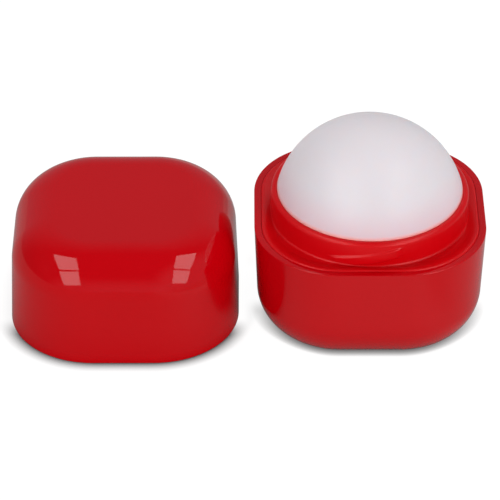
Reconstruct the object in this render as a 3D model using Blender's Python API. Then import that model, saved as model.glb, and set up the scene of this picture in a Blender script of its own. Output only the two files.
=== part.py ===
"""Lip balm cube: a rounded square box in two halves, with its screw cap taken off and stood beside the base.

Units are metres and +Z is up. The origin lies on the surface that both halves stand on, midway between them.
"""

import math
from typing import NamedTuple

import bmesh
import bpy

MM = 0.001

# Both halves: two cups of one size whose rims meet when the cube is shut
CUBE_WIDTH = 40.0 * MM
CORNER_RADIUS = 14.8 * MM
HALF_HEIGHT = 20.0 * MM
DRAFT_ANGLE = math.radians(2.3)
EDGE_FILLET = 7.8 * MM
SIDE_WALL = 1.2 * MM
END_WALL = 1.35 * MM
RIM_ROUND = 0.2 * MM

# Where the cap stands: the space between the halves, and how much further back the cap is
HALVES_APART = 2.7 * MM
CAP_SET_BACK = 1.8 * MM

# Clearances between pieces that are assembled for good
SEAT_GAP = 0.3 * MM
BALM_GAP = 0.15 * MM

# Corner ribs inside each half, which carry the inner pieces by their flanges
RIB_THICKNESS = 1.2 * MM

# Threaded neck that stands up from the base
NECK_RISE = 4.35 * MM
NECK_WALL = 1.05 * MM
NECK_FILLET = 0.4 * MM
LIP_OUTER_ROUND = 0.7 * MM
LIP_INNER_ROUND = 0.25 * MM
FLANGE_DROP = 0.25 * MM
FLANGE_THICKNESS = 1.2 * MM
BEAD_OVER_RIM = 0.15 * MM
BEAD_ROUND = 0.35 * MM
BEAD_WIDTH = 0.75 * MM
SKIRT_DEPTH = 4.0 * MM
LEDGE_WIDTH = 1.8 * MM
LEDGE_THICKNESS = 1.2 * MM

# Thread: two steep right-hand ridges on the neck, and two short ones in the cap that hook under them
THREAD_STARTS = 2
THREAD_LEAD = 20.0 * MM
THREAD_HEIGHT = 0.5 * MM
THREAD_WIDTH = 1.5 * MM
THREAD_CLEARANCE = 0.15 * MM
THREAD_TOP_DROP = 1.85 * MM
THREAD_END_ANGLE = math.radians(-72.0)
NECK_THREAD_ARC = math.radians(44.0)
CAP_THREAD_ARC = math.radians(18.0)
CAP_THREAD_DROP = 1.0 * MM
THREAD_CREST_SHARE = 0.4
THREAD_TAPER = math.radians(5.0)

# Liner inside the cap: a round threaded skirt under a bowl that covers the balm
LINER_WALL = 0.5 * MM
LINER_RECESS = 0.5 * MM
LINER_FLANGE_THICKNESS = 1.0 * MM
LIP_CLEARANCE = 0.4 * MM
SHOULDER_THICKNESS = 0.8 * MM
BOWL_WALL = 0.7 * MM
BOWL_CLEARANCE = 0.95 * MM

# Cage that the balm is cast round: a plate with a boss, fins, and a hole between each two fins
PLATE_THICKNESS = 1.2 * MM
BOSS_RADIUS = 2.4 * MM
FIN_COUNT = 4
FIN_THICKNESS = 1.2 * MM
FIN_END_MARGIN = 4.5 * MM
BALM_OVER_FINS = 4.0 * MM
HOLE_RADIUS = 2.4 * MM

# Bare round label in a recess of the underside
LABEL_RADIUS = 9.2 * MM
LABEL_THICKNESS = 0.2 * MM
LABEL_INSET = 0.1 * MM

# How finely round shapes are divided
SEGMENTS = 48
FILLET_STEPS = 6
ROUND_STEPS = 3
THREAD_ROW_RISE = 0.36 * MM
DOME_STEPS = 9
BOSS_STEPS = 9
SMOOTH_UP_TO = math.radians(35.0)

# One overrun for every cut that has to pass a face
CUT_OVERRUN = 1.0 * MM

# Materials: linear colours, and how rough each one is
RED_PLASTIC = (0.560, 0.010, 0.013, 1.0)
RED_ROUGHNESS = 0.16
LINER_RED = (0.420, 0.009, 0.011, 1.0)
LINER_ROUGHNESS = 0.30
BALM_WHITE = (0.780, 0.740, 0.790, 1.0)
BALM_ROUGHNESS = 0.42
BALM_SUBSURFACE = 0.3
CAGE_WHITE = (0.720, 0.720, 0.700, 1.0)
CAGE_ROUGHNESS = 0.45
LABEL_WHITE = (0.860, 0.855, 0.840, 1.0)
LABEL_ROUGHNESS = 0.55


class Row(NamedTuple):
    """One level section: a rounded square, or a circle where half and corner are alike."""

    half: float
    corner: float
    height: float
    threaded: bool = False


def circle(radius, height, threaded=False):
    return Row(radius, radius, height, threaded)


def pole(height):
    return Row(0.0, 0.0, height)


def spaced(count, first=0.0):
    """Evenly spaced angles round the axis, beginning at first."""
    return [first + math.tau * step / count for step in range(count)]


def turned_point(x, y, angle):
    """The point (x, y), turned about the axis."""
    return x * math.cos(angle) - y * math.sin(angle), x * math.sin(angle) + y * math.cos(angle)


def arc_steps(steps):
    """Angles from just past 0 to a quarter turn."""
    return [math.pi / 2 * (step + 1) / steps for step in range(steps)]


def section_radius(row, angle):
    """Distance from the axis to the section's edge, in the direction of angle."""
    along = max(abs(math.cos(angle)), abs(math.sin(angle)))
    across = min(abs(math.cos(angle)), abs(math.sin(angle)))
    straight = row.half - min(row.corner, row.half)
    if row.half * across <= straight * along:
        return row.half / along
    reach = straight * (along + across)
    return reach + math.sqrt(reach**2 - 2 * straight**2 + (row.half - straight) ** 2)


def ridge(angle, height, end_height, arc):
    """Share of the full thread height at one point, for ridges that climb through arc to end_height."""
    share = 0.0
    for start in range(THREAD_STARTS):
        behind = (THREAD_END_ANGLE + math.tau * start / THREAD_STARTS - angle) % math.tau
        if behind > arc:
            continue
        centre = end_height - THREAD_LEAD * behind / math.tau
        offset = abs(height - centre) / (THREAD_WIDTH / 2)
        flank = min(1.0, max(0.0, (1.0 - offset) / (1.0 - THREAD_CREST_SHARE)))
        taper = min(1.0, behind / THREAD_TAPER, (arc - behind) / THREAD_TAPER)
        share = max(share, flank * taper)
    return share


def turned(name, rows, material, parent, ring=False, thread=None):
    """A solid whose surface runs through level sections in turn. A ring's last section joins its first."""
    mesh = bpy.data.meshes.new(name)
    bm = bmesh.new()
    loops = []
    for row in rows:
        if row.half == 0.0:
            loops.append([bm.verts.new((0.0, 0.0, row.height))])
            continue
        loop = []
        for step in range(SEGMENTS):
            angle = math.tau * step / SEGMENTS
            radius = section_radius(row, angle)
            if row.threaded:
                radius += thread(angle, row.height)
            loop.append(bm.verts.new((radius * math.cos(angle), radius * math.sin(angle), row.height)))
        loops.append(loop)
    pairs = list(zip(loops, loops[1:]))
    if ring:
        pairs.append((loops[-1], loops[0]))
    for first, second in pairs:
        for step in range(SEGMENTS):
            after = (step + 1) % SEGMENTS
            corners = [first[step % len(first)], first[after % len(first)]]
            corners += [second[after % len(second)], second[step % len(second)]]
            bm.faces.new(list(dict.fromkeys(corners)))
    bmesh.ops.recalc_face_normals(bm, faces=bm.faces)
    bm.to_mesh(mesh)
    bm.free()
    return placed(name, mesh, material, parent)


def placed(name, mesh, material, parent):
    """The mesh as an object in the scene, shaded smooth up to its real edges."""
    obj = bpy.data.objects.new(name, mesh)
    bpy.context.scene.collection.objects.link(obj)
    obj.parent = parent
    if material:
        mesh.materials.append(material)
    mesh.shade_smooth()
    mesh.set_sharp_from_angle(angle=SMOOTH_UP_TO)
    return obj


def block(name, boxes, parent):
    """A helper made of boxes, each given as its size, its centre and its turn about Z."""
    mesh = bpy.data.meshes.new(name)
    bm = bmesh.new()
    for size, centre, turn in boxes:
        made = bmesh.ops.create_cube(bm, size=1.0)["verts"]
        for vert in made:
            x = vert.co.x * size[0] + centre[0]
            y = vert.co.y * size[1] + centre[1]
            z = vert.co.z * size[2] + centre[2]
            vert.co = (*turned_point(x, y, turn), z)
    bm.to_mesh(mesh)
    bm.free()
    return hidden(placed(name, mesh, None, parent))


def hidden(helper):
    """Marks an object that only shapes others."""
    helper.hide_render = True
    helper.display_type = "WIRE"
    return helper


def combine(obj, other, operation):
    modifier = obj.modifiers.new(f"{operation.lower()}_{other.name}", "BOOLEAN")
    modifier.operation = operation
    modifier.object = other
    modifier.solver = "EXACT"


def plastic(name, colour, roughness, subsurface=0.0):
    material = bpy.data.materials.new(name)
    material.use_nodes = True
    shader = material.node_tree.nodes["Principled BSDF"]
    shader.inputs["Base Color"].default_value = colour
    shader.inputs["Roughness"].default_value = roughness
    shader.inputs["Metallic"].default_value = 0.0
    shader.inputs["Subsurface Weight"].default_value = subsurface
    material.diffuse_color = colour
    return material


def frame(name, x, y):
    """An empty on the vertical axis of one half."""
    empty = bpy.data.objects.new(name, None)
    bpy.context.scene.collection.objects.link(empty)
    empty.location = (x, y, 0.0)
    return empty


def cup_surface(height, inset, end_inset):
    """Sections of one half's surface from its rim at height 0 to its closed end, moved in by the insets."""
    half = CUBE_WIDTH / 2 - inset
    corner = CORNER_RADIUS - inset
    fillet = EDGE_FILLET - inset
    straight = height - end_inset - fillet
    lean = straight * math.tan(DRAFT_ANGLE)
    rows = [Row(half, corner, 0.0), Row(half - lean, corner - lean, straight)]
    for angle in arc_steps(FILLET_STEPS):
        in_by = lean + fillet * (1.0 - math.cos(angle))
        rows.append(Row(half - in_by, corner - in_by, straight + fillet * math.sin(angle)))
    return rows


def cup(height):
    """Sections of one half as a cup, its rim at height 0: from its end, round the rim and up the inside."""
    outer = cup_surface(height, 0.0, 0.0)
    rim = outer.pop(0)
    lean = RIM_ROUND * math.tan(DRAFT_ANGLE)
    edge = []
    for angle in [0.0] + arc_steps(ROUND_STEPS):
        in_by = RIM_ROUND * (1.0 - math.cos(angle)) + lean * math.cos(angle)
        edge.append(Row(rim.half - in_by, rim.corner - in_by, RIM_ROUND * (1.0 - math.sin(angle))))
    inner = cup_surface(height, SIDE_WALL, END_WALL)
    return outer[::-1] + edge + inner + [pole(inner[-1].height)]


def upside_down(rows, height):
    return [row._replace(height=height - row.height) for row in rows]


def inside_wall(depth, inset):
    """Section of the room inside a half, at a depth from its rim, moved inwards by inset."""
    in_by = SIDE_WALL + depth * math.tan(DRAFT_ANGLE) + inset
    return CUBE_WIDTH / 2 - in_by, CORNER_RADIUS - in_by


# Sizes that follow from the driving ones, from the cap's wall inwards to the balm
LIP_HEIGHT = HALF_HEIGHT + NECK_RISE
SEAT_DEPTH = NECK_RISE + LIP_CLEARANCE
SHOULDER_DEPTH = SEAT_DEPTH + SHOULDER_THICKNESS
LINER_RADIUS = inside_wall(SHOULDER_DEPTH, SEAT_GAP)[0]
LINER_BORE = LINER_RADIUS - LINER_WALL
CREST_RADIUS = LINER_BORE - THREAD_CLEARANCE
NECK_RADIUS = CREST_RADIUS - THREAD_HEIGHT
NECK_BORE = NECK_RADIUS - NECK_WALL
BALM_EDGE_RADIUS = NECK_BORE - BALM_GAP
BALM_EDGE_HEIGHT = LIP_HEIGHT - LIP_INNER_ROUND
BOWL_TOP = HALF_HEIGHT - END_WALL - SEAT_GAP - BOWL_WALL
DOME_TOP = HALF_HEIGHT + BOWL_TOP - BOWL_CLEARANCE
DOME_RISE = DOME_TOP - BALM_EDGE_HEIGHT
DOME_RADIUS = (BALM_EDGE_RADIUS**2 + DOME_RISE**2) / (2 * DOME_RISE)
DOME_CENTRE = DOME_TOP - DOME_RADIUS
FLANGE_TOP = HALF_HEIGHT - FLANGE_DROP
FLANGE_LOW = FLANGE_TOP - FLANGE_THICKNESS
BEAD_TOP = HALF_HEIGHT + BEAD_OVER_RIM
PLATE_LOW = FLANGE_TOP + SEAT_GAP
PLATE_TOP = PLATE_LOW + PLATE_THICKNESS
BALM_LOW = PLATE_TOP + SEAT_GAP
FIN_LENGTH = NECK_BORE - FIN_END_MARGIN
FIN_TOP = DOME_CENTRE + math.sqrt(DOME_RADIUS**2 - FIN_LENGTH**2) - BALM_OVER_FINS
LABEL_ROOM = LABEL_INSET + LABEL_THICKNESS + SEAT_GAP
THREAD_TOP = LIP_HEIGHT - THREAD_TOP_DROP


def neck_thread(angle, height):
    """How far the neck's wall stands out at one point."""
    return THREAD_HEIGHT * ridge(angle, height, THREAD_TOP, NECK_THREAD_ARC)


def cap_thread(angle, height):
    """How far the liner's wall stands in at one point, at a height above the cap's rim."""
    end_height = THREAD_TOP - HALF_HEIGHT - CAP_THREAD_DROP
    return -THREAD_HEIGHT * ridge(angle, height, end_height, CAP_THREAD_ARC)


def wall_core(height):
    """Sections of the solid that reaches to the middle of a half's walls, with its rim at height 0."""
    room = cup_surface(height, SIDE_WALL / 2, END_WALL / 2)
    return [pole(0.0)] + room + [pole(room[-1].height)]


def threaded_rows(radius, low, high):
    """Sections of a threaded wall between two levels, which are left out."""
    count = round((high - low) / THREAD_ROW_RISE)
    return [circle(radius, low + (high - low) * row / count, threaded=True) for row in range(1, count)]


def corner_ribs(name, core_rows, near, low, high, parent):
    """Four ribs across a half's corners, from radius near into the wall, cut to the core."""
    core = hidden(turned(f"{name}_core", core_rows, None, parent))
    size = (CUBE_WIDTH - near, RIB_THICKNESS, high - low)
    centre = (near + size[0] / 2, 0.0, (low + high) / 2)
    ribs = block(name, [(size, centre, turn) for turn in spaced(4, math.pi / 4)], parent)
    combine(ribs, core, "INTERSECT")
    return ribs


def make_base_shell(material, parent):
    rows = upside_down(cup(HALF_HEIGHT), HALF_HEIGHT)
    recess = LABEL_RADIUS + SEAT_GAP
    foot = [pole(LABEL_ROOM), circle(recess, LABEL_ROOM), circle(recess, 0.0)]
    shell = turned("base_shell", foot + rows, material, parent)
    core = upside_down(wall_core(HALF_HEIGHT), HALF_HEIGHT)
    ribs = corner_ribs("base_ribs", core, NECK_RADIUS + SEAT_GAP, 0.0, FLANGE_LOW - SEAT_GAP, parent)
    combine(shell, ribs, "UNION")
    return shell


def make_cap_shell(material, parent):
    shell = turned("cap_shell", [pole(HALF_HEIGHT)] + cup(HALF_HEIGHT), material, parent)
    rib_low = LINER_RECESS + LINER_FLANGE_THICKNESS + SEAT_GAP
    core = wall_core(HALF_HEIGHT)
    ribs = corner_ribs("cap_ribs", core, LINER_RADIUS + SEAT_GAP, rib_low, HALF_HEIGHT, parent)
    combine(shell, ribs, "UNION")
    return shell


def make_neck_ring(material, parent):
    half, corner = inside_wall(HALF_HEIGHT - FLANGE_LOW, SEAT_GAP)
    rows = [Row(half, corner, FLANGE_LOW)]
    for angle in [0.0] + arc_steps(ROUND_STEPS):
        in_by = BEAD_ROUND * (1.0 - math.cos(angle))
        rows.append(Row(half - in_by, corner - in_by, BEAD_TOP - BEAD_ROUND * (1.0 - math.sin(angle))))
    rows.append(Row(half - BEAD_WIDTH, corner - BEAD_WIDTH, FLANGE_TOP))
    for angle in [0.0] + arc_steps(ROUND_STEPS):
        out_by = NECK_FILLET * (1.0 - math.sin(angle))
        rows.append(circle(NECK_RADIUS + out_by, FLANGE_TOP + NECK_FILLET * (1.0 - math.cos(angle))))
    low = rows[-1].height
    high = LIP_HEIGHT - LIP_OUTER_ROUND
    rows += threaded_rows(NECK_RADIUS, low, high)
    for angle in [0.0] + arc_steps(ROUND_STEPS):
        in_by = LIP_OUTER_ROUND * (1.0 - math.cos(angle))
        rows.append(circle(NECK_RADIUS - in_by, high + LIP_OUTER_ROUND * math.sin(angle)))
    for angle in [0.0] + arc_steps(ROUND_STEPS):
        out_by = LIP_INNER_ROUND * (1.0 - math.sin(angle))
        rows.append(circle(NECK_BORE + out_by, LIP_HEIGHT - LIP_INNER_ROUND * (1.0 - math.cos(angle))))
    ledge_low = FLANGE_TOP - LEDGE_THICKNESS
    skirt_foot = FLANGE_LOW - SKIRT_DEPTH
    rows += [circle(NECK_BORE, FLANGE_TOP), circle(NECK_BORE - LEDGE_WIDTH, FLANGE_TOP)]
    rows += [circle(NECK_BORE - LEDGE_WIDTH, ledge_low), circle(NECK_BORE, ledge_low)]
    rows += [circle(NECK_BORE, skirt_foot), circle(NECK_RADIUS, skirt_foot)]
    rows.append(circle(NECK_RADIUS, FLANGE_LOW))
    return turned("neck_ring", rows, material, parent, ring=True, thread=neck_thread)


def fin_outline(clearance):
    """Corners of the cage's fins and boss seen from above, grown by clearance on every side."""
    half = FIN_THICKNESS / 2 + clearance
    radius = BOSS_RADIUS + clearance
    first = math.asin(half / radius)
    sweep = math.tau / FIN_COUNT - 2 * first
    corners = []
    for fin in spaced(FIN_COUNT):
        for side in (-half, half):
            corners.append(turned_point(FIN_LENGTH + clearance, side, fin))
        for step in range(BOSS_STEPS + 1):
            corners.append(turned_point(radius, 0.0, fin + first + sweep * step / BOSS_STEPS))
    return corners


def fins(name, clearance, low, parent):
    """The cage's fins and boss as a helper, grown by clearance on every side."""
    mesh = bpy.data.meshes.new(name)
    bm = bmesh.new()
    outline = fin_outline(clearance)
    foot = [bm.verts.new((x, y, low)) for x, y in outline]
    top = [bm.verts.new((x, y, FIN_TOP + clearance)) for x, y in outline]
    for corner in range(len(outline)):
        before = corner - 1
        bm.faces.new([foot[before], foot[corner], top[corner], top[before]])
    bm.faces.new(top)
    bm.faces.new(foot[::-1])
    bm.to_mesh(mesh)
    bm.free()
    return hidden(placed(name, mesh, None, parent))


def make_balm_cage(material, parent):
    radius = NECK_BORE - BALM_GAP
    rows = [pole(PLATE_LOW), circle(radius, PLATE_LOW), circle(radius, PLATE_TOP), pole(PLATE_TOP)]
    cage = turned("balm_cage", rows, material, parent)
    combine(cage, fins("cage_fins", 0.0, PLATE_LOW + PLATE_THICKNESS / 2, parent), "UNION")
    hole_circle = (BOSS_RADIUS + radius) / 2
    low = PLATE_LOW - CUT_OVERRUN
    high = PLATE_TOP + CUT_OVERRUN
    hole_rows = [pole(low), circle(HOLE_RADIUS, low), circle(HOLE_RADIUS, high), pole(high)]
    for number, angle in enumerate(spaced(FIN_COUNT, math.pi / FIN_COUNT), start=1):
        cutter = hidden(turned(f"cage_hole_{number}", hole_rows, None, parent))
        cutter.location = (hole_circle * math.cos(angle), hole_circle * math.sin(angle), 0.0)
        combine(cage, cutter, "DIFFERENCE")
    return cage


def dome_rows(radius, centre, low, top_to_low=True):
    """Sections of a sphere from its top down to the level low."""
    widest = math.acos((low - centre) / radius)
    rows = [pole(centre + radius)]
    for step in range(1, DOME_STEPS + 1):
        tilt = widest * step / DOME_STEPS
        rows.append(circle(radius * math.sin(tilt), centre + radius * math.cos(tilt)))
    return rows if top_to_low else rows[::-1]


def make_lip_balm(material, parent):
    rows = dome_rows(DOME_RADIUS, DOME_CENTRE, BALM_EDGE_HEIGHT)
    rows += [circle(BALM_EDGE_RADIUS, BALM_LOW), pole(BALM_LOW)]
    balm = turned("lip_balm", rows, material, parent)
    combine(balm, fins("balm_slots", SEAT_GAP, BALM_LOW - CUT_OVERRUN, parent), "DIFFERENCE")
    return balm


def make_cap_liner(material, parent):
    half, corner = inside_wall(LINER_RECESS + LINER_FLANGE_THICKNESS, SEAT_GAP)
    flange_top = LINER_RECESS + LINER_FLANGE_THICKNESS
    centre = DOME_CENTRE - HALF_HEIGHT
    rows = dome_rows(BOWL_TOP + BOWL_WALL - centre, centre, SHOULDER_DEPTH)
    rows += [circle(LINER_RADIUS, SHOULDER_DEPTH), circle(LINER_RADIUS, flange_top)]
    rows += [Row(half, corner, flange_top), Row(half, corner, LINER_RECESS)]
    rows.append(circle(LINER_BORE, LINER_RECESS))
    rows += threaded_rows(LINER_BORE, LINER_RECESS, SEAT_DEPTH)
    rows.append(circle(LINER_BORE, SEAT_DEPTH))
    rows += dome_rows(BOWL_TOP - centre, centre, SEAT_DEPTH, top_to_low=False)
    return turned("cap_liner", rows, material, parent, thread=cap_thread)


def make_base_label(material, parent):
    low = LABEL_INSET
    high = LABEL_INSET + LABEL_THICKNESS
    rows = [pole(low), circle(LABEL_RADIUS, low), circle(LABEL_RADIUS, high), pole(high)]
    return turned("base_label", rows, material, parent)


def main():
    for obj in list(bpy.data.objects):
        bpy.data.objects.remove(obj)
    base_red = plastic("base_plastic", RED_PLASTIC, RED_ROUGHNESS)
    neck_red = plastic("neck_plastic", RED_PLASTIC, RED_ROUGHNESS)
    cage_white = plastic("cage_plastic", CAGE_WHITE, CAGE_ROUGHNESS)
    wax = plastic("balm_wax", BALM_WHITE, BALM_ROUGHNESS, BALM_SUBSURFACE)
    paper = plastic("label_paper", LABEL_WHITE, LABEL_ROUGHNESS)
    cap_red = plastic("cap_plastic", RED_PLASTIC, RED_ROUGHNESS)
    liner_red = plastic("liner_plastic", LINER_RED, LINER_ROUGHNESS)
    across = (CUBE_WIDTH + HALVES_APART) / 2
    base_axis = frame("base_axis", across, -CAP_SET_BACK / 2)
    cap_axis = frame("cap_axis", -across, CAP_SET_BACK / 2)
    make_base_shell(base_red, base_axis)
    make_neck_ring(neck_red, base_axis)
    make_balm_cage(cage_white, base_axis)
    make_lip_balm(wax, base_axis)
    make_base_label(paper, base_axis)
    make_cap_shell(cap_red, cap_axis)
    make_cap_liner(liner_red, cap_axis)


main()
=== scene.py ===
import math
from typing import NamedTuple

import bmesh
import bpy
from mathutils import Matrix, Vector


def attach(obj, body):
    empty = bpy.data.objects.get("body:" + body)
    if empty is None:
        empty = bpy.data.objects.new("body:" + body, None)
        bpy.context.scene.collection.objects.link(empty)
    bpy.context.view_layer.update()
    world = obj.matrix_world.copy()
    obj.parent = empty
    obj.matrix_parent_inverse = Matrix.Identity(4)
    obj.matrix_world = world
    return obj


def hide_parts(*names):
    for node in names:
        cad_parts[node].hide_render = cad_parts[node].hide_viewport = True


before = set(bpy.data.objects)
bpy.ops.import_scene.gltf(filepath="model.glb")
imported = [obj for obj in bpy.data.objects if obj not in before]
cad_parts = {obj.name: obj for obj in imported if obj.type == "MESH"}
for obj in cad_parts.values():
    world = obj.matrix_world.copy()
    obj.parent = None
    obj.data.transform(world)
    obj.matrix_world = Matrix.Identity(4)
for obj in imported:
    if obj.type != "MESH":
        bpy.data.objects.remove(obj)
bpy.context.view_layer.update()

# Looks of a cube of lip balm with its cap off, on the white table of its photograph.
# Lengths are in metres, and Z is up.
MM = 0.001

# Both halves. Each level of a half is a fixed square with a corner radius round it.
CORNERS = 4
SQUARE = 5.2 * MM
RIM_CORNER = 14.8 * MM
HALF_HEIGHT = 20.0 * MM
DRAFT = math.tan(math.radians(2.3))
EDGE_FILLET = 7.8 * MM
SIDE_WALL = 1.2 * MM
END_WALL = 1.35 * MM
RIM_ROUND = 0.12 * MM
RIM_INNER_ROUND = 0.05 * MM
RIB_THICKNESS = 1.2 * MM
SEAT_GAP = 0.3 * MM
BASE_AXIS = (21.35 * MM, -0.9 * MM)
CAP_AXIS = (-21.35 * MM, 0.9 * MM)

# Cap's liner
LINER_RECESS = 0.5 * MM
LINER_FLANGE_TOP = 1.5 * MM
LINER_SEAT = 4.75 * MM
LINER_SHOULDER = 5.55 * MM
LINER_RADIUS = SQUARE + RIM_CORNER - SIDE_WALL - LINER_SHOULDER * DRAFT - SEAT_GAP
LINER_WALL = 0.5 * MM
LINER_BORE = LINER_RADIUS - LINER_WALL
LINER_ROUND = 0.15 * MM
BOWL_TOP = 17.65 * MM
BOWL_WALL = 0.7 * MM

# Base's neck
NECK_GAP = 0.65 * MM
NECK_WALL = 1.05 * MM
NECK_RADIUS = LINER_BORE - NECK_GAP
NECK_BORE = NECK_RADIUS - NECK_WALL
LIP_HEIGHT = 24.35 * MM
LIP_OUTER_ROUND = 0.75 * MM
LIP_INNER_ROUND = 0.06 * MM
NECK_FILLET = 0.4 * MM
FLANGE_TOP = 19.75 * MM
FLANGE_LOW = 18.55 * MM
FLANGE_GAP = 0.02 * MM
BEAD_TOP = 20.15 * MM
BEAD_ROUND = 0.3 * MM
BEAD_SLOPE = 2.2 * MM
SKIRT_FOOT = 14.55 * MM
LEDGE_WIDTH = 1.8 * MM
LEDGE_LOW = 18.55 * MM

# Thread ridges on the neck and in the liner
THREAD_STARTS = 2
THREAD_LEAD = 20.0 * MM
THREAD_HEIGHT = 0.35 * MM
THREAD_WIDTH = 2.1 * MM
THREAD_TOP = 22.5 * MM
THREAD_END_ANGLE = math.radians(-72.0)
NECK_THREAD_ARC = math.radians(44.0)
CAP_THREAD_TOP = 1.5 * MM
CAP_THREAD_ARC = math.radians(18.0)
THREAD_CREST_SHARE = 0.72
THREAD_TAPER = math.radians(5.0)
THREAD_ROW_RISE = 0.07 * MM

# Balm, its cage's fins, and the label
BALM_GAP = 0.01 * MM
BALM_EDGE_RADIUS = NECK_BORE - BALM_GAP
BALM_EDGE_HEIGHT = LIP_HEIGHT - LIP_INNER_ROUND
DOME_TOP = 36.7 * MM
DOME_RISE = DOME_TOP - BALM_EDGE_HEIGHT
DOME_RADIUS = (BALM_EDGE_RADIUS**2 + DOME_RISE**2) / (2 * DOME_RISE)
DOME_CENTRE = DOME_TOP - DOME_RADIUS
BALM_LOW = 21.55 * MM
FIN_COUNT = 4
FIN_THICKNESS = 1.2 * MM
FIN_END_GAP = 4.5 * MM
FIN_COVER = 4.0 * MM
FIN_LENGTH = NECK_BORE - FIN_END_GAP
FIN_TOP = DOME_CENTRE + math.sqrt(DOME_RADIUS**2 - FIN_LENGTH**2) - FIN_COVER
BOSS_RADIUS = 2.4 * MM
SLOT_OVERSHOOT = 1.0 * MM
LABEL_RADIUS = 9.2 * MM
LABEL_LOW = 0.1 * MM
LABEL_TOP = 0.3 * MM
LABEL_ROOM = 0.6 * MM

# How finely shapes are divided, how far from an edge a section supports it, and what stays sharp
ARC_STEPS = 40
STRAIGHT_STEPS = 20
FILLET_STEPS = 24
ROUND_STEPS = 6
DOME_STEPS = 48
SUPPORT = 0.3 * MM
SMOOTH_UP_TO = math.radians(40.0)

# Corner radius of the square on which each column's polar angle is read
POLAR_CORNER = 13.4 * MM


class Row(NamedTuple):
    """One level section: a square with this corner radius, or a circle with this radius."""

    kind: str
    radius: float
    height: float
    threaded: bool = False


def square(radius, height):
    return Row("square", radius, height)


def circle(radius, height, threaded=False):
    return Row("circle", radius, height, threaded)


def pole(height):
    return Row("circle", 0.0, height)


def make_columns():
    """Each column's point on the fixed square and its outward angle, round all four corners."""
    columns = []
    for corner in range(CORNERS):
        start = math.tau * corner / CORNERS
        x, y = spin(SQUARE, SQUARE, start)
        for step in range(ARC_STEPS + 1):
            columns.append((x, y, start + math.pi / 2 * step / ARC_STEPS))
        for step in range(1, STRAIGHT_STEPS):
            share = step / STRAIGHT_STEPS
            x, y = spin(SQUARE * (1 - 2 * share), SQUARE, start)
            columns.append((x, y, start + math.pi / 2))
    return columns


def spin(x, y, angle):
    """The point (x, y), turned about the axis."""
    return x * math.cos(angle) - y * math.sin(angle), x * math.sin(angle) + y * math.cos(angle)


COLUMNS = make_columns()


def polar_angle(column):
    x, y, angle = column
    return math.atan2(y + POLAR_CORNER * math.sin(angle), x + POLAR_CORNER * math.cos(angle))


def eased(share):
    """A share from 0 to 1 with soft ends."""
    share = min(1.0, max(0.0, share))
    return share * share * (3.0 - 2.0 * share)


def ridge(angle, height, end_height, arc):
    """Share of the full thread height at one point. Ridges climb through arc to end_height."""
    share = 0.0
    for start in range(THREAD_STARTS):
        behind = (THREAD_END_ANGLE + math.tau * start / THREAD_STARTS - angle) % math.tau
        if behind > arc:
            continue
        centre = end_height - THREAD_LEAD * behind / math.tau
        offset = abs(height - centre) / (THREAD_WIDTH / 2)
        flank = eased((1.0 - offset) / (1.0 - THREAD_CREST_SHARE))
        taper = eased(min(behind, arc - behind) / THREAD_TAPER)
        share = max(share, flank * taper)
    return share


def neck_thread(angle, height):
    return THREAD_HEIGHT * ridge(angle, height, THREAD_TOP, NECK_THREAD_ARC)


def liner_thread(angle, height):
    return -THREAD_HEIGHT * ridge(angle, height, CAP_THREAD_TOP, CAP_THREAD_ARC)


def row_points(row, thread):
    if row.radius == 0.0:
        return [(0.0, 0.0, row.height)]
    points = []
    for column in COLUMNS:
        if row.kind == "square":
            x, y, angle = column
            radius = row.radius
        else:
            x, y, angle = 0.0, 0.0, polar_angle(column)
            radius = row.radius + (thread(angle, row.height) if row.threaded else 0.0)
        points.append((x + radius * math.cos(angle), y + radius * math.sin(angle), row.height))
    return points


def swept(name, rows, axis, ring=False, thread=None):
    """A closed mesh through level sections in turn, on a vertical axis.

    A ring's last row joins its first.
    """
    bm = bmesh.new()
    loops = []
    for row in rows:
        points = row_points(row, thread)
        loops.append([bm.verts.new((x + axis[0], y + axis[1], z)) for x, y, z in points])
    pairs = list(zip(loops, loops[1:]))
    if ring:
        pairs.append((loops[-1], loops[0]))
    count = len(COLUMNS)
    for first, second in pairs:
        for step in range(count):
            after = (step + 1) % count
            corners = [first[step % len(first)], first[after % len(first)]]
            corners += [second[after % len(second)], second[step % len(second)]]
            bm.faces.new(list(dict.fromkeys(corners)))
    bmesh.ops.recalc_face_normals(bm, faces=bm.faces)
    return smoothed(name, bm)


def mesh_from(name, bm):
    mesh = bpy.data.meshes.new(name)
    bm.to_mesh(mesh)
    bm.free()
    return mesh


def linked(name, data):
    """An object in the scene with this data."""
    obj = bpy.data.objects.new(name, data)
    bpy.context.scene.collection.objects.link(obj)
    return obj


def smoothed(name, bm):
    """An object from a mesh that is done, shaded smooth but for its sharp edges."""
    obj = linked(name, mesh_from(name, bm))
    smooth(obj)
    return obj


def smooth(obj):
    obj.data.shade_smooth()
    obj.data.set_sharp_from_angle(angle=SMOOTH_UP_TO)


def prism(name, outline, low, high, axis):
    """A closed mesh that stands on an outline."""
    bm = bmesh.new()
    foot = [bm.verts.new((x + axis[0], y + axis[1], low)) for x, y in outline]
    top = [bm.verts.new((x + axis[0], y + axis[1], high)) for x, y in outline]
    for corner in range(len(outline)):
        before = corner - 1
        bm.faces.new([foot[before], foot[corner], top[corner], top[before]])
    bm.faces.new(top)
    bm.faces.new(foot[::-1])
    return smoothed(name, bm)


def combine(obj, helper, operation):
    """Applies a Boolean and removes its helper."""
    modifier = obj.modifiers.new(operation, "BOOLEAN")
    modifier.operation = operation
    modifier.object = helper
    modifier.solver = "EXACT"
    graph = bpy.context.evaluated_depsgraph_get()
    made = bpy.data.meshes.new_from_object(obj.evaluated_get(graph))
    obj.modifiers.clear()
    old = obj.data
    obj.data = made
    bpy.data.meshes.remove(old)
    made.name = obj.name
    bpy.data.objects.remove(helper)
    smooth(obj)


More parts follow.
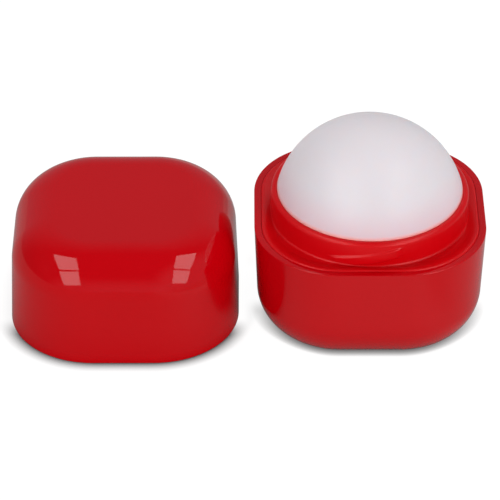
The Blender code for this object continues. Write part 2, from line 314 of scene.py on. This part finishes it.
def quarter(steps):
    """Angles from 0 to a quarter turn, with both ends."""
    return [math.pi / 2 * step / steps for step in range(steps + 1)]


def cup_surface(inset, end_inset):
    """Sections of one half's surface, from its rim at height 0 to the edge of its flat end."""
    corner = RIM_CORNER - inset
    fillet = EDGE_FILLET - inset
    straight = HALF_HEIGHT - end_inset - fillet
    rows = []
    for angle in quarter(FILLET_STEPS):
        in_by = straight * DRAFT + fillet * (1.0 - math.cos(angle))
        rows.append(square(corner - in_by, straight + fillet * math.sin(angle)))
    below = straight - SUPPORT
    end = rows[-1]._replace(radius=rows[-1].radius - SUPPORT)
    return [square(corner - below * DRAFT, below)] + rows + [end]


def cup():
    """Sections of one half, its rim at height 0: from its end, round the rim and up the inside."""
    outer = cup_surface(0.0, 0.0)
    above = RIM_ROUND + SUPPORT
    rows = outer[::-1] + [square(RIM_CORNER - above * DRAFT, above)]
    for angle in quarter(ROUND_STEPS):
        in_by = RIM_ROUND * (1.0 - math.cos(angle)) + RIM_ROUND * DRAFT * math.cos(angle)
        rows.append(square(RIM_CORNER - in_by, RIM_ROUND * (1.0 - math.sin(angle))))
    wall = RIM_CORNER - SIDE_WALL
    for angle in quarter(ROUND_STEPS)[::-1]:
        out_by = RIM_INNER_ROUND * (1.0 - math.cos(angle))
        rows.append(square(wall + out_by, RIM_INNER_ROUND * (1.0 - math.sin(angle))))
    inside = cup_surface(SIDE_WALL, END_WALL)
    above = RIM_INNER_ROUND + SUPPORT
    return rows + [square(wall - above * DRAFT, above)] + inside + [pole(inside[-1].height)]


def upside_down(rows):
    return [row._replace(height=HALF_HEIGHT - row.height) for row in rows]


def add_ribs(shell, core_rows, near, low, high, axis):
    """Four ribs across the corners of a half, from radius near into its wall."""
    half = RIB_THICKNESS / 2
    for corner in range(CORNERS):
        turn = math.tau * (corner + 0.5) / CORNERS
        ends = [(near, -half), (2 * near, -half), (2 * near, half), (near, half)]
        rib = prism("rib", [spin(x, y, turn) for x, y in ends], low, high, axis)
        combine(rib, swept("core", core_rows, axis), "INTERSECT")
        combine(shell, rib, "UNION")


def wall_core():
    """Sections of the solid that reaches to the middle of a half's walls."""
    room = cup_surface(SIDE_WALL / 2, END_WALL / 2)
    rim = square(RIM_CORNER - SIDE_WALL / 2, 0.0)
    return [pole(0.0), rim] + room + [pole(room[-1].height)]


def make_cap_cup():
    cap = swept("cap_cup", [pole(HALF_HEIGHT)] + cup(), CAP_AXIS)
    low = LINER_FLANGE_TOP + SEAT_GAP
    add_ribs(cap, wall_core(), LINER_RADIUS + SEAT_GAP, low, HALF_HEIGHT, CAP_AXIS)
    return cap


def make_base_cup():
    recess = LABEL_RADIUS + SEAT_GAP
    foot = [pole(LABEL_ROOM), circle(recess, LABEL_ROOM), circle(recess, 0.0)]
    base = swept("base_cup", foot + upside_down(cup()), BASE_AXIS)
    core = upside_down(wall_core())
    add_ribs(base, core, NECK_RADIUS + SEAT_GAP, 0.0, FLANGE_LOW - SEAT_GAP, BASE_AXIS)
    return base


def threaded_rows(radius, low, high):
    count = round((high - low) / THREAD_ROW_RISE)
    heights = [low + (high - low) * row / count for row in range(1, count)]
    return [circle(radius, height, threaded=True) for height in heights]


def flange_corner(height):
    """Corner radius of the flange's side, which follows the wall round it."""
    return RIM_CORNER - SIDE_WALL - (HALF_HEIGHT - height) * DRAFT - FLANGE_GAP


def make_neck():
    """The neck and its flange, with a bead along the flange's edge that slopes in to its top."""
    rows = [square(flange_corner(FLANGE_LOW), FLANGE_LOW)]
    for angle in quarter(2 * ROUND_STEPS):
        in_by = BEAD_ROUND * (1.0 - math.cos(angle))
        height = BEAD_TOP - BEAD_ROUND * (1.0 - math.sin(angle))
        rows.append(square(flange_corner(height) - in_by, height))
    inner = rows[-1].radius - BEAD_SLOPE
    for step in range(1, 2 * ROUND_STEPS + 1):
        share = step / (2 * ROUND_STEPS)
        height = BEAD_TOP + (FLANGE_TOP - BEAD_TOP) * eased(share)
        rows.append(square(inner + BEAD_SLOPE * (1.0 - share), height))
    rows.append(circle(NECK_RADIUS + NECK_FILLET + SUPPORT, FLANGE_TOP))
    for angle in quarter(2 * ROUND_STEPS):
        out_by = NECK_FILLET * (1.0 - math.sin(angle))
        height = FLANGE_TOP + NECK_FILLET * (1.0 - math.cos(angle))
        rows.append(circle(NECK_RADIUS + out_by, height))
    high = LIP_HEIGHT - LIP_OUTER_ROUND
    rows += threaded_rows(NECK_RADIUS, rows[-1].height, high)
    for angle in quarter(2 * ROUND_STEPS):
        in_by = LIP_OUTER_ROUND * (1.0 - math.cos(angle))
        rows.append(circle(NECK_RADIUS - in_by, high + LIP_OUTER_ROUND * math.sin(angle)))
    for angle in quarter(ROUND_STEPS):
        out_by = LIP_INNER_ROUND * (1.0 - math.sin(angle))
        height = LIP_HEIGHT - LIP_INNER_ROUND * (1.0 - math.cos(angle))
        rows.append(circle(NECK_BORE + out_by, height))
    rows += [circle(NECK_BORE, FLANGE_TOP), circle(NECK_BORE - LEDGE_WIDTH, FLANGE_TOP)]
    rows += [circle(NECK_BORE - LEDGE_WIDTH, LEDGE_LOW), circle(NECK_BORE, LEDGE_LOW)]
    rows += [circle(NECK_BORE, SKIRT_FOOT), circle(NECK_RADIUS, SKIRT_FOOT)]
    rows.append(circle(NECK_RADIUS, FLANGE_LOW))
    return swept("threaded_neck", rows, BASE_AXIS, ring=True, thread=neck_thread)


def dome_rows(radius, centre, low):
    """Sections of a sphere from its top down to the level low."""
    widest = math.acos((low - centre) / radius)
    rows = [pole(centre + radius)]
    for step in range(1, DOME_STEPS + 1):
        tilt = widest * step / DOME_STEPS
        rows.append(circle(radius * math.sin(tilt), centre + radius * math.cos(tilt)))
    return rows


def make_cap_lining():
    """The liner and its bowl over the balm, open below."""
    corner = RIM_CORNER - SIDE_WALL - LINER_FLANGE_TOP * DRAFT - SEAT_GAP
    centre = DOME_CENTRE - HALF_HEIGHT
    rows = dome_rows(BOWL_TOP + BOWL_WALL - centre, centre, LINER_SHOULDER)
    rows += [circle(LINER_RADIUS, LINER_SHOULDER), circle(LINER_RADIUS, LINER_FLANGE_TOP)]
    rows += [square(corner, LINER_FLANGE_TOP), square(corner, LINER_RECESS)]
    for angle in quarter(ROUND_STEPS)[::-1]:
        out_by = LINER_ROUND * (1.0 - math.cos(angle))
        height = LINER_RECESS + LINER_ROUND * (1.0 - math.sin(angle))
        rows.append(circle(LINER_BORE + out_by, height))
    rows += threaded_rows(LINER_BORE, rows[-1].height, LINER_SEAT)
    rows.append(circle(LINER_BORE, LINER_SEAT))
    rows += dome_rows(BOWL_TOP - centre, centre, LINER_SEAT)[::-1]
    return swept("cap_lining", rows, CAP_AXIS, thread=liner_thread)


def fin_outline(clearance):
    """Corners of the cage's fins and boss seen from above, grown by clearance on every side."""
    half = FIN_THICKNESS / 2 + clearance
    radius = BOSS_RADIUS + clearance
    first = math.asin(half / radius)
    sweep = math.tau / FIN_COUNT - 2 * first
    corners = []
    for number in range(FIN_COUNT):
        fin = math.tau * number / FIN_COUNT
        corners += [spin(FIN_LENGTH + clearance, side, fin) for side in (-half, half)]
        for step in range(DOME_STEPS + 1):
            corners.append(spin(radius, 0.0, fin + first + sweep * step / DOME_STEPS))
    return corners


def make_balm():
    rows = dome_rows(DOME_RADIUS, DOME_CENTRE, BALM_EDGE_HEIGHT)
    rows += [circle(BALM_EDGE_RADIUS, BALM_LOW), pole(BALM_LOW)]
    balm = swept("balm_dome", rows, BASE_AXIS)
    low, high = BALM_LOW - SLOT_OVERSHOOT, FIN_TOP + SEAT_GAP
    combine(balm, prism("slots", fin_outline(SEAT_GAP), low, high, BASE_AXIS), "DIFFERENCE")
    return balm


def make_label():
    edge = [circle(LABEL_RADIUS, LABEL_LOW), circle(LABEL_RADIUS, LABEL_TOP)]
    return swept("round_label", [pole(LABEL_LOW)] + edge + [pole(LABEL_TOP)], BASE_AXIS)


def feed(tree, socket, value):
    """Sets a socket to a value, or links it where the value is itself a socket."""
    if isinstance(value, bpy.types.NodeSocket):
        tree.links.new(value, socket)
    else:
        socket.default_value = value


def add_node(tree, kind, **inputs):
    """A shader node with its inputs set or linked. Spaces in an input's name are written as _."""
    node = tree.nodes.new(kind)
    for name, value in inputs.items():
        feed(tree, node.inputs[name.replace("_", " ")], value)
    return node


def new_tree(name):
    """A material without nodes but its output, its node tree, and the output's surface socket."""
    material = bpy.data.materials.new(name)
    material.use_nodes = True
    tree = material.node_tree
    tree.nodes.clear()
    output = tree.nodes.new("ShaderNodeOutputMaterial")
    return material, tree, output.inputs["Surface"]


def maths(tree, operation, *values):
    """The result of a Math node. A value is a number or a socket."""
    node = tree.nodes.new("ShaderNodeMath")
    node.operation = operation
    for socket, value in zip(node.inputs, values):
        feed(tree, socket, value)
    return node.outputs["Value"]


def ranged(tree, value, low, high, to_low, to_high):
    """The value, carried softly from one range to another."""
    ends = {"From_Min": low, "From_Max": high, "To_Min": to_low, "To_Max": to_high}
    node = add_node(tree, "ShaderNodeMapRange", Value=value, **ends)
    node.interpolation_type = "SMOOTHSTEP"
    return node.outputs["Result"]


def noise(tree, place, size, detail=2.0):
    """Noise from 0 to 1 whose features are about as large as size."""
    node = add_node(tree, "ShaderNodeTexNoise", Vector=place, Scale=1.0 / size, Detail=detail)
    return node.outputs["Fac"]


def mixed(tree, share, first, second):
    """A colour between two, by share."""
    node = tree.nodes.new("ShaderNodeMix")
    node.data_type = "RGBA"
    sockets = [socket for socket in node.inputs if socket.enabled]
    for socket, value in zip(sockets, (share, first, second)):
        feed(tree, socket, value)
    return next(socket for socket in node.outputs if socket.enabled)


def bumped(tree, height, rise, normal=None):
    """A normal that follows a height from 0 to 1 which stands for rise."""
    bump = add_node(tree, "ShaderNodeBump", Height=height, Distance=rise, Strength=1.0)
    if normal:
        tree.links.new(normal, bump.inputs["Normal"])
    return bump.outputs["Normal"]


def principled(name, make_inputs):
    """A material of one Principled shader, whose inputs are made from the place on the piece."""
    material, tree, surface = new_tree(name)
    place = tree.nodes.new("ShaderNodeTexCoord").outputs["Object"]
    shader = add_node(tree, "ShaderNodeBsdfPrincipled", **make_inputs(tree, place))
    tree.links.new(shader.outputs["BSDF"], surface)
    return material


# How moulded plastic varies: slow shifts of pigment, fine rubbed patches, a faint wave and a grain
PLASTIC_IOR = 1.5
PIGMENT_SIZE = 14.0 * MM
RUBBED_SIZE = 3.0 * MM
RUBBED_DETAIL = 5.0
RUBBED_BETWEEN = (0.55, 0.8)
RUBBED_ROUGHNESS = 0.05
WAVE_SIZE = 9.0 * MM
WAVE_DETAIL = 0.0
WAVE_RISE = 0.03 * MM
GRAIN_SIZE = 0.5 * MM
GRAIN_RISE = 0.0002 * MM


class Plastic(NamedTuple):
    """A plastic's two shades of pigment, its roughness and its specular level."""

    colour: tuple[float, float, float]
    deeper: tuple[float, float, float]
    roughness: float
    specular: float


SHELL_PLASTIC = Plastic((0.455, 0.0, 0.003), (0.435, 0.0, 0.002), 0.05, 0.28)
# Painted light: the neck is the shell's red plastic, its red made lighter to stand in for light
# that falls short on it
NECK_PLASTIC_PAINTED_LIGHTER = Plastic((0.54, 0.0, 0.003), (0.52, 0.0, 0.002), 0.29, 0.2)
LINING_PLASTIC = Plastic((0.42, 0.002, 0.004), (0.39, 0.001, 0.003), 0.22, 0.3)
CAGE_PLASTIC = Plastic((0.74, 0.74, 0.72), (0.70, 0.70, 0.67), 0.35, 0.4)


def moulded_plastic(name, plastic):
    def inputs(tree, place):
        pigment = noise(tree, place, PIGMENT_SIZE)
        colour = mixed(tree, pigment, (*plastic.colour, 1.0), (*plastic.deeper, 1.0))
        patches = noise(tree, place, RUBBED_SIZE, RUBBED_DETAIL)
        rougher = plastic.roughness + RUBBED_ROUGHNESS
        rubbed = ranged(tree, patches, *RUBBED_BETWEEN, plastic.roughness, rougher)
        waves = bumped(tree, noise(tree, place, WAVE_SIZE, WAVE_DETAIL), WAVE_RISE)
        grain = bumped(tree, noise(tree, place, GRAIN_SIZE), GRAIN_RISE, waves)
        return {
            "Base_Color": colour,
            "Roughness": rubbed,
            "Normal": grain,
            "IOR": PLASTIC_IOR,
            "Specular_IOR_Level": plastic.specular,
        }

    return principled(name, inputs)


# Balm: cast and translucent, a little uneven in tint and gloss, with faint dents
WAX_IOR = 1.44
WAX_SPECULAR = 0.4
WAX_TINT_SIZE = 9.0 * MM
WAX_TINT_DETAIL = 3.0
WAX_TINTS = ((0.69, 0.65, 0.685, 1.0), (0.67, 0.63, 0.66, 1.0))
WAX_GLOSS_SIZE = 1.6 * MM
WAX_GLOSS_DETAIL = 4.0
WAX_GLOSS_BETWEEN = (0.3, 0.7)
WAX_ROUGHNESS = (0.36, 0.5)
WAX_DENT_SIZE = 5.0 * MM
WAX_DENT_DETAIL = 1.0
WAX_DENT_RISE = 0.03 * MM
WAX_SKIN_SIZE = 0.35 * MM
WAX_SKIN_RISE = 0.002 * MM
WAX_SUBSURFACE = 0.8
WAX_SUBSURFACE_RADIUS = (1.0, 0.7, 0.6)
WAX_SUBSURFACE_SCALE = 1.5 * MM

# Painted red glow on the balm: a pink edge by its red neck and a fainter pink above it, standing
# in for light from the neck
SEAM_GLOW_REACH = 0.8 * MM
PAINTED_SEAM_GLOW = (0.93, 0.36, 0.34, 1.0)
RED_BOUNCE_REACH = 6.5 * MM
PAINTED_RED_BOUNCE = (0.67, 0.52, 0.565, 1.0)


def balm_wax(name):
    def inputs(tree, place):
        clear = mixed(tree, noise(tree, place, WAX_TINT_SIZE, WAX_TINT_DETAIL), *WAX_TINTS)
        height = add_node(tree, "ShaderNodeSeparateXYZ", Vector=place).outputs["Z"]
        # Painted glow: the wax is tinted pink near the neck, for red light that the neck throws
        # into it
        foot = BALM_EDGE_HEIGHT
        near = ranged(tree, height, foot, foot + RED_BOUNCE_REACH, 1.0, 0.0)
        seam_glow_share = ranged(tree, height, foot, foot + SEAM_GLOW_REACH, 1.0, 0.0)
        tint_and_red_glow = mixed(tree, seam_glow_share, mixed(tree, near, clear, PAINTED_RED_BOUNCE), PAINTED_SEAM_GLOW)
        uneven = noise(tree, place, WAX_GLOSS_SIZE, WAX_GLOSS_DETAIL)
        gloss = ranged(tree, uneven, *WAX_GLOSS_BETWEEN, *WAX_ROUGHNESS)
        dents = bumped(tree, noise(tree, place, WAX_DENT_SIZE, WAX_DENT_DETAIL), WAX_DENT_RISE)
        skin = bumped(tree, noise(tree, place, WAX_SKIN_SIZE), WAX_SKIN_RISE, dents)
        return {
            "Base_Color": tint_and_red_glow,
            "Roughness": gloss,
            "Normal": skin,
            "Subsurface_Weight": WAX_SUBSURFACE,
            "Subsurface_Radius": WAX_SUBSURFACE_RADIUS,
            "Subsurface_Scale": WAX_SUBSURFACE_SCALE,
            "IOR": WAX_IOR,
            "Specular_IOR_Level": WAX_SPECULAR,
        }

    return principled(name, inputs)


# Label: bare coated paper with faint fibres
PAPER_ROUGHNESS = 0.5
PAPER_TINTS = ((0.88, 0.875, 0.86, 1.0), (0.80, 0.795, 0.77, 1.0))
FIBRE_SIZE = 0.4 * MM
FIBRE_DETAIL = 6.0
FIBRE_RISE = 0.01 * MM


def label_paper(name):
    def inputs(tree, place):
        fibres = noise(tree, place, FIBRE_SIZE, FIBRE_DETAIL)
        return {
            "Base_Color": mixed(tree, fibres, *PAPER_TINTS),
            "Normal": bumped(tree, fibres, FIBRE_RISE),
            "Roughness": PAPER_ROUGHNESS,
        }

    return principled(name, inputs)


def cover(piece, material):
    """Gives a piece this material and no other."""
    piece.data.materials.clear()
    piece.data.materials.append(material)


def dress(piece, body, node, material):
    """Puts a piece in its solid's place, with its own material."""
    cover(piece, material)
    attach(piece, body)
    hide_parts(node)


red = moulded_plastic("gloss_red", SHELL_PLASTIC)
# The neck's material has its red painted lighter, for light that falls short on the neck
neck_red_painted_lighter = moulded_plastic("neck_red_painted_lighter", NECK_PLASTIC_PAINTED_LIGHTER)
lining_red = moulded_plastic("satin_red", LINING_PLASTIC)
dress(make_cap_cup(), "cap", "cap_shell", red)
dress(make_cap_lining(), "cap", "cap_liner", lining_red)
dress(make_base_cup(), "base", "base_shell", red)
dress(make_neck(), "base", "neck_ring", neck_red_painted_lighter)
dress(make_balm(), "base", "lip_balm", balm_wax("wax"))
dress(make_label(), "base", "base_label", label_paper("paper"))
cover(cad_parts["balm_cage"], moulded_plastic("natural_white", CAGE_PLASTIC))


def stage(name, mesh, material, seen_by_camera):
    """A floor or card that isn't part of the object."""
    obj = linked(name, mesh)
    mesh.materials.append(material)
    obj.visible_camera = seen_by_camera
    return obj


def mirrored_only(card):
    """Makes a card show in reflections and light nothing else."""
    card.visible_diffuse = False
    card.visible_transmission = False
    card.visible_volume_scatter = False
    card.visible_shadow = False


def glowing(tree, surface, **inputs):
    """Ends a material in an Emission shader."""
    glow = add_node(tree, "ShaderNodeEmission", **inputs)
    tree.links.new(glow.outputs["Emission"], surface)


def background_rays(tree, mirrored):
    """1 for rays that show the background, which camera and transmission rays do.

    Glossy rays get the share mirrored, and all others 0.
    """
    path = tree.nodes.new("ShaderNodeLightPath").outputs
    seen = maths(tree, "MAXIMUM", path["Is Camera Ray"], path["Is Transmission Ray"])
    return maths(tree, "MAXIMUM", seen, maths(tree, "MULTIPLY", path["Is Glossy Ray"], mirrored))


# Floor as the camera sees it: nearly white by its own glow and a little lamplight, shaded round
# the object, and all white farther out
FLOOR_RADIUS = 3.0
FLOOR_SEGMENTS = 96
FLOOR_FILL = 0.97
FLOOR_LIT = 0.08
SHADED_WITHIN = 0.12
WHITE_FROM = 0.30

# Floor as other light sees it: grey, and darker but partly mirrored white for glossy rays
FLOOR_GREY = 0.6
FLOOR_DARK = 0.12
FLOOR_MIRRORED = (0.25, 0.5)
MIRRORED_BETWEEN = (-22.0 * MM, 28.0 * MM)
MIRRORED_LESS = 0.6
LESS_BETWEEN = (38.0 * MM, 50.0 * MM)
# Reach of the painted shade near the object in the floor's reflection
MIRRORED_SHADE_REACH = 12.0 * MM

# Contact shade. The cap's gives way to the base's where the halves meet in X. It starts later
# behind than in front, and far out on each side a share of it stays between the two.
HALVES_MEET = (-0.5 * MM, 2.0 * MM)
LATER_BEHIND = 8.5 * MM
SHADE_ASIDE = 0.12
ASIDE_FROM = (25.0 * MM, 38.0 * MM)


class Shade(NamedTuple):
    """One half's contact shade. It fades in, and its reach changes, each between two depths."""

    strength: float
    fades: tuple[float, float]
    reaches: tuple[float, float]
    between: tuple[float, float]


CAP_SHADE = Shade(2.0, (6.0 * MM, 11.5 * MM), (3.1 * MM, 2.6 * MM), (12.0 * MM, 21.0 * MM))
BASE_SHADE = Shade(1.05, (0.0, 4.5 * MM), (4.2 * MM, 1.3 * MM), (2.0 * MM, 18.0 * MM))


def openness(tree, reach):
    """How open the floor lies to the sky, from 0 to 1, by what stands within reach."""
    return add_node(tree, "ShaderNodeAmbientOcclusion", Distance=reach).outputs["AO"]


def contact_shade(tree, shade, depth, least):
    """How dark the floor is by one half. Least is the share that stays where depth is small."""
    reach = ranged(tree, depth, *shade.between, *shade.reaches)
    hidden = maths(tree, "SUBTRACT", 1.0, openness(tree, reach))
    covered = maths(tree, "MULTIPLY", hidden, shade.strength)
    share = ranged(tree, depth, *shade.fades, least, 1.0)
    return maths(tree, "MULTIPLY", maths(tree, "MINIMUM", covered, 1.0), share)


def floor_shade(tree, x, y):
    """Contact shade of both halves. Depth is the distance in front of the middle, or behind."""
    in_front = maths(tree, "MULTIPLY", y, -1.0)
    depth = maths(tree, "MAXIMUM", in_front, maths(tree, "SUBTRACT", y, LATER_BEHIND))
    least = ranged(tree, maths(tree, "ABSOLUTE", x), *ASIDE_FROM, 0.0, SHADE_ASIDE)
    by_base = ranged(tree, x, *HALVES_MEET, 0.0, 1.0)
    by_cap = maths(tree, "SUBTRACT", 1.0, by_base)
    base_shade = maths(tree, "MULTIPLY", by_base, contact_shade(tree, BASE_SHADE, depth, least))
    cap_shade = contact_shade(tree, CAP_SHADE, depth, least)
    return maths(tree, "MULTIPLY_ADD", by_cap, cap_shade, base_shade)


def mirrored_share(tree, x):
    """Share of white the floor mirrors: painted shade near the object, and less far to the right.
    """
    share = ranged(tree, x, *MIRRORED_BETWEEN, *FLOOR_MIRRORED)
    share = maths(tree, "MULTIPLY", openness(tree, MIRRORED_SHADE_REACH), share)
    return maths(tree, "MULTIPLY", share, ranged(tree, x, *LESS_BETWEEN, 1.0, MIRRORED_LESS))


def floor_white(name):
    material, tree, surface = new_tree(name)
    place = tree.nodes.new("ShaderNodeNewGeometry").outputs["Position"]
    away = add_node(tree, "ShaderNodeVectorMath")
    away.operation = "LENGTH"
    tree.links.new(place, away.inputs[0])
    fill = ranged(tree, away.outputs["Value"], SHADED_WITHIN, WHITE_FROM, FLOOR_FILL, 1.0)
    spot = add_node(tree, "ShaderNodeSeparateXYZ", Vector=place).outputs
    unshaded = maths(tree, "SUBTRACT", 1.0, floor_shade(tree, spot["X"], spot["Y"]))
    white = tree.nodes.new("ShaderNodeAddShader")
    glowing(tree, white.inputs[0], Strength=maths(tree, "MULTIPLY", fill, unshaded))
    lit, grey, dark = ((level, level, level, 1.0) for level in (FLOOR_LIT, FLOOR_GREY, FLOOR_DARK))
    shadowed = add_node(tree, "ShaderNodeBsdfDiffuse", Color=lit)
    tree.links.new(shadowed.outputs["BSDF"], white.inputs[1])
    glossy = tree.nodes.new("ShaderNodeLightPath").outputs["Is Glossy Ray"]
    plain = add_node(tree, "ShaderNodeBsdfDiffuse", Color=mixed(tree, glossy, grey, dark))
    shown_white = background_rays(tree, mirrored_share(tree, spot["X"]))
    mix = add_node(tree, "ShaderNodeMixShader", Fac=shown_white)
    tree.links.new(plain.outputs["BSDF"], mix.inputs[1])
    tree.links.new(white.outputs["Shader"], mix.inputs[2])
    tree.links.new(mix.outputs["Shader"], surface)
    return material


bm = bmesh.new()
bmesh.ops.create_circle(bm, cap_ends=True, segments=FLOOR_SEGMENTS, radius=FLOOR_RADIUS)
stage("floor", mesh_from("floor", bm), floor_white("white_floor"), True)


def towards(azimuth, elevation, distance):
    """A point in a direction: azimuth 0 lies away from the camera, 90 to its right."""
    azimuth, elevation = math.radians(azimuth), math.radians(elevation)
    level = math.cos(elevation)
    x, y = math.sin(azimuth) * level, math.cos(azimuth) * level
    return Vector((x, y, math.sin(elevation))) * distance


# Two windows of two panes each, by the azimuth and elevation of each pane's corners
WINDOW_DISTANCE = 1.5
WINDOW_STRENGTH = 4.4
WINDOW_COLOUR = (1.0, 0.99, 1.0, 1.0)
PANES = {
    "left_upper": ((-82.1, 52.6), (-101.8, 73.3), (-151.9, 52.5), (-123.7, 38.1)),
    "left_lower": ((-125.5, 35.0), (-153.2, 48.8), (-162.8, 16.9), (-141.2, 9.0)),
    "right_upper": ((87.5, 71.3), (79.7, 50.6), (120.6, 34.5), (140.9, 52.3)),
    "right_lower": ((143.5, 48.2), (122.3, 31.6), (135.8, 8.6), (154.5, 18.1)),
}

window_light, tree, surface = new_tree("window_light")
glowing(tree, surface, Color=WINDOW_COLOUR, Strength=WINDOW_STRENGTH)
for name, corners in PANES.items():
    pane = bpy.data.meshes.new(name)
    points = [towards(*corner, WINDOW_DISTANCE) for corner in corners]
    pane.from_pydata(points, [], [tuple(range(len(points)))])
    mirrored_only(stage("window_" + name, pane, window_light, False))

# Dim studio round the object: brighter behind, on the right and low in front.
# Each lobe has its axis's azimuth and elevation, its inner and outer angle, and its strength.
STUDIO_RADIUS = 2.9
STUDIO_SEGMENTS = 64
STUDIO_RINGS = 32
STUDIO_DIM = 0.11
STUDIO_COLOUR = (1.0, 0.97, 1.08, 1.0)
LOBES = (
    ((0.0, 15.0), 25.0, 70.0, 0.20),
    ((125.0, 5.0), 35.0, 65.0, 0.38),
    ((-160.0, -5.0), 12.0, 45.0, 0.33),
)


def studio_light(name):
    material, tree, surface = new_tree(name)
    place = tree.nodes.new("ShaderNodeNewGeometry").outputs["Position"]
    total = STUDIO_DIM
    for axis, inner, outer, strength in LOBES:
        along = tree.nodes.new("ShaderNodeVectorMath")
        along.operation = "DOT_PRODUCT"
        tree.links.new(place, along.inputs[0])
        along.inputs[1].default_value = towards(*axis, 1.0 / STUDIO_RADIUS)
        low, high = math.cos(math.radians(outer)), math.cos(math.radians(inner))
        lobe = ranged(tree, along.outputs["Value"], low, high, 0.0, strength)
        total = maths(tree, "ADD", total, lobe)
    glowing(tree, surface, Color=STUDIO_COLOUR, Strength=total)
    material.cycles.emission_sampling = "NONE"
    return material


bm = bmesh.new()
rings = {"u_segments": STUDIO_SEGMENTS, "v_segments": STUDIO_RINGS}
bmesh.ops.create_uvsphere(bm, radius=STUDIO_RADIUS, **rings)
mirrored_only(stage("studio", mesh_from("studio", bm), studio_light("studio_light"), False))

# Lamps: name, azimuth, elevation and power of each
LAMP_DISTANCE = 1.2
LAMP_SIZE = 0.7
LAMPS = (
    ("lamp_right", 150.0, 20.0, 10.6),
    ("lamp_left", -110.0, 20.0, 5.0),
    ("lamp_behind", 25.0, 50.0, 5.7),
    ("lamp_back_left", -70.0, 50.0, 2.5),
)
for name, azimuth, elevation, power in LAMPS:
    data = bpy.data.lights.new(name, "AREA")
    data.size = LAMP_SIZE
    data.energy = power
    lamp = linked(name, data)
    lamp.location = towards(azimuth, elevation, LAMP_DISTANCE)
    lamp.rotation_euler = (-lamp.location).to_track_quat("-Z", "Y").to_euler()
    lamp.visible_camera = False
    lamp.visible_glossy = False

# World: white wherever the background shows
WORLD_LIGHT = 0.35
WORLD_WHITE = (1.0, 1.0, 1.0, 1.0)
world = bpy.data.worlds.new("studio")
world.use_nodes = True
tree = world.node_tree
shown = background_rays(tree, 1.0)
strength = add_node(tree, "ShaderNodeMapRange", Value=shown, To_Min=WORLD_LIGHT, To_Max=1.0)
background = tree.nodes["Background"]
background.inputs["Color"].default_value = WORLD_WHITE
tree.links.new(strength.outputs["Result"], background.inputs["Strength"])
bpy.context.scene.world = world

# Camera, as the photograph was taken. Its sensor and focal length are in millimetres.
CAMERA_PLACE = Vector((-0.061, -456.53, 339.785)) * MM
CAMERA_TARGET = Vector((0.625, 0.0, 10.318)) * MM
CAMERA_SENSOR = 36.0
CAMERA_LENS = 230.73
CAMERA_CLIP = (0.01, 10.0)
camera = linked("camera", bpy.data.cameras.new("camera"))
camera.location = CAMERA_PLACE
camera.rotation_euler = (CAMERA_TARGET - CAMERA_PLACE).to_track_quat("-Z", "Y").to_euler()
camera.data.sensor_width = CAMERA_SENSOR
camera.data.lens = CAMERA_LENS
camera.data.clip_start, camera.data.clip_end = CAMERA_CLIP
bpy.context.scene.camera = camera

bpy.context.scene.view_settings.view_transform = "Standard"
